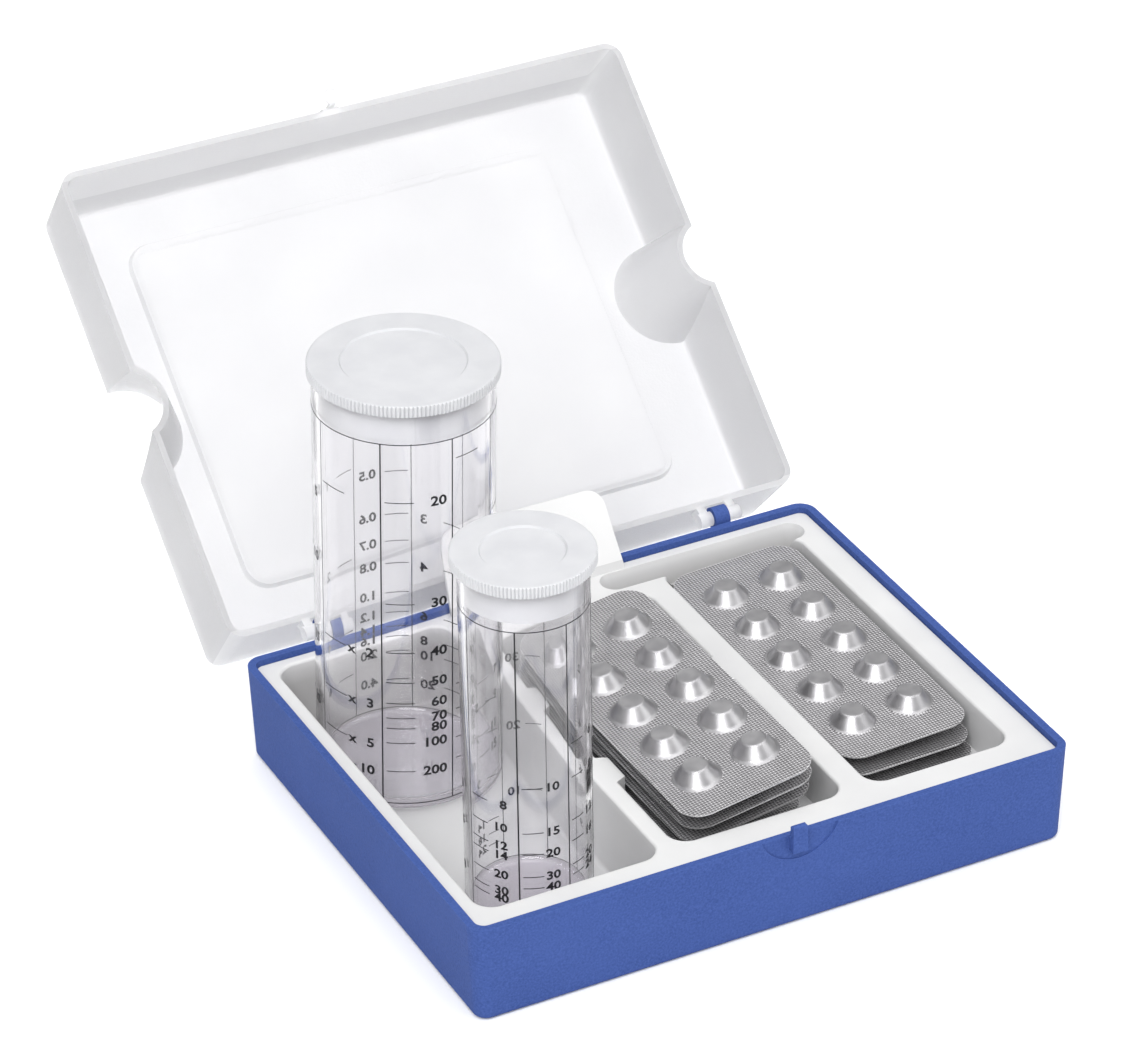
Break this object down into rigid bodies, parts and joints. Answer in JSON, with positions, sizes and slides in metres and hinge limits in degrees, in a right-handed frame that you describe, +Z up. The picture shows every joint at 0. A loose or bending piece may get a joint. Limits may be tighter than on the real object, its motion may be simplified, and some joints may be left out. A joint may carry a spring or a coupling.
{
  "type": "water test kit",
  "caption": "Hinged case for testing pool water, with a clear lid, an insert, two graduated tubes with plug caps and stacks of tablet strips.",
  "frame": {"origin": "centre of the case's flat underside", "axes": "+X along the hinge to the right, +Y back to the hinge and the open lid, +Z up"},
  "size_m": [0.125, 0.1966, 0.093],
  "materials": {
    "case_plastic": "fine grained blue polypropylene",
    "lid_plastic": "frosted clear polypropylene, fine grain inside",
    "tray_plastic": "white thermoformed sheet, satin",
    "tube_plastic": "clear polystyrene with black printed scales",
    "cap_plastic": "translucent natural polyethylene",
    "formed_foil": "satin foil with a fine diamond emboss",
    "lidding_foil": "flat foil",
    "tablet": "pressed powder"
  },
  "bodies": {
    "case": {"case_base": "case_plastic"},
    "lid": {"lid": "lid_plastic"},
    "tray": {"insert_tray": "tray_plastic"},
    "large_tube": {"large_tube": "tube_plastic"},
    "large_cap": {"large_tube_cap": "cap_plastic"},
    "small_tube": {"small_tube": "tube_plastic"},
    "small_cap": {"small_tube_cap": "cap_plastic"},
    "middle_strip_1": {"middle_strip_1_shell": "formed_foil", "middle_strip_1_foil": "lidding_foil", "middle_strip_1_tablets": "tablet"},
    "middle_strip_2": {"middle_strip_2_shell": "formed_foil", "middle_strip_2_foil": "lidding_foil", "middle_strip_2_tablets": "tablet"},
    "middle_strip_3": {"middle_strip_3_shell": "formed_foil", "middle_strip_3_foil": "lidding_foil", "middle_strip_3_tablets": "tablet"},
    "middle_strip_4": {"middle_strip_4_shell": "formed_foil", "middle_strip_4_foil": "lidding_foil", "middle_strip_4_tablets": "tablet"},
    "middle_strip_5": {"middle_strip_5_shell": "formed_foil", "middle_strip_5_foil": "lidding_foil", "middle_strip_5_tablets": "tablet"},
    "right_strip_1": {"right_strip_1_shell": "formed_foil", "right_strip_1_foil": "lidding_foil", "right_strip_1_tablets": "tablet"},
    "right_strip_2": {"right_strip_2_shell": "formed_foil", "right_strip_2_foil": "lidding_foil", "right_strip_2_tablets": "tablet"},
    "right_strip_3": {"right_strip_3_shell": "formed_foil", "right_strip_3_foil": "lidding_foil", "right_strip_3_tablets": "tablet"}
  },
  "joints": [
    {"name": "lid_hinge", "type": "hinge", "parent": "case", "child": "lid", "pos_m": [0, 0.05325, 0.0208], "axis": [-1, 0, 0], "range_deg": [-64, 0]},
    {"name": "tray_lift", "type": "slide", "parent": "case", "child": "tray", "axis": [0, 0, 1], "range_m": [0, 0.03]},
    {"name": "large_tube_lift", "type": "slide", "parent": "tray", "child": "large_tube", "axis": [0.0262, 0, 0.9997], "range_m": [0, 0.03]},
    {"name": "large_cap_lift", "type": "slide", "parent": "large_tube", "child": "large_cap", "axis": [0.0262, 0, 0.9997], "range_m": [0, 0.014]},
    {"name": "small_tube_lift", "type": "slide", "parent": "tray", "child": "small_tube", "axis": [0, 0, 1], "range_m": [0, 0.03]},
    {"name": "small_cap_lift", "type": "slide", "parent": "small_tube", "child": "small_cap", "axis": [0, 0, 1], "range_m": [0, 0.014]},
    {"name": "middle_strip_1_lift", "type": "slide", "parent": "tray", "child": "middle_strip_1", "axis": [0, 0, 1], "range_m": [0, 0.02]},
    {"name": "middle_strip_2_lift", "type": "slide", "parent": "middle_strip_1", "child": "middle_strip_2", "axis": [0, 0, 1], "range_m": [0, 0.008]},
    {"name": "middle_strip_3_lift", "type": "slide", "parent": "middle_strip_2", "child": "middle_strip_3", "axis": [0, 0, 1], "range_m": [0, 0.008]},
    {"name": "middle_strip_4_lift", "type": "slide", "parent": "middle_strip_3", "child": "middle_strip_4", "axis": [0, 0, 1], "range_m": [0, 0.008]},
    {"name": "middle_strip_5_lift", "type": "slide", "parent": "middle_strip_4", "child": "middle_strip_5", "axis": [0, 0, 1], "range_m": [0, 0.008]},
    {"name": "right_strip_1_lift", "type": "slide", "parent": "tray", "child": "right_strip_1", "axis": [0, 0, 1], "range_m": [0, 0.02]},
    {"name": "right_strip_2_lift", "type": "slide", "parent": "right_strip_1", "child": "right_strip_2", "axis": [0, 0, 1], "range_m": [0, 0.008]},
    {"name": "right_strip_3_lift", "type": "slide", "parent": "right_strip_2", "child": "right_strip_3", "axis": [0, 0, 1], "range_m": [0, 0.008]}
  ]
}
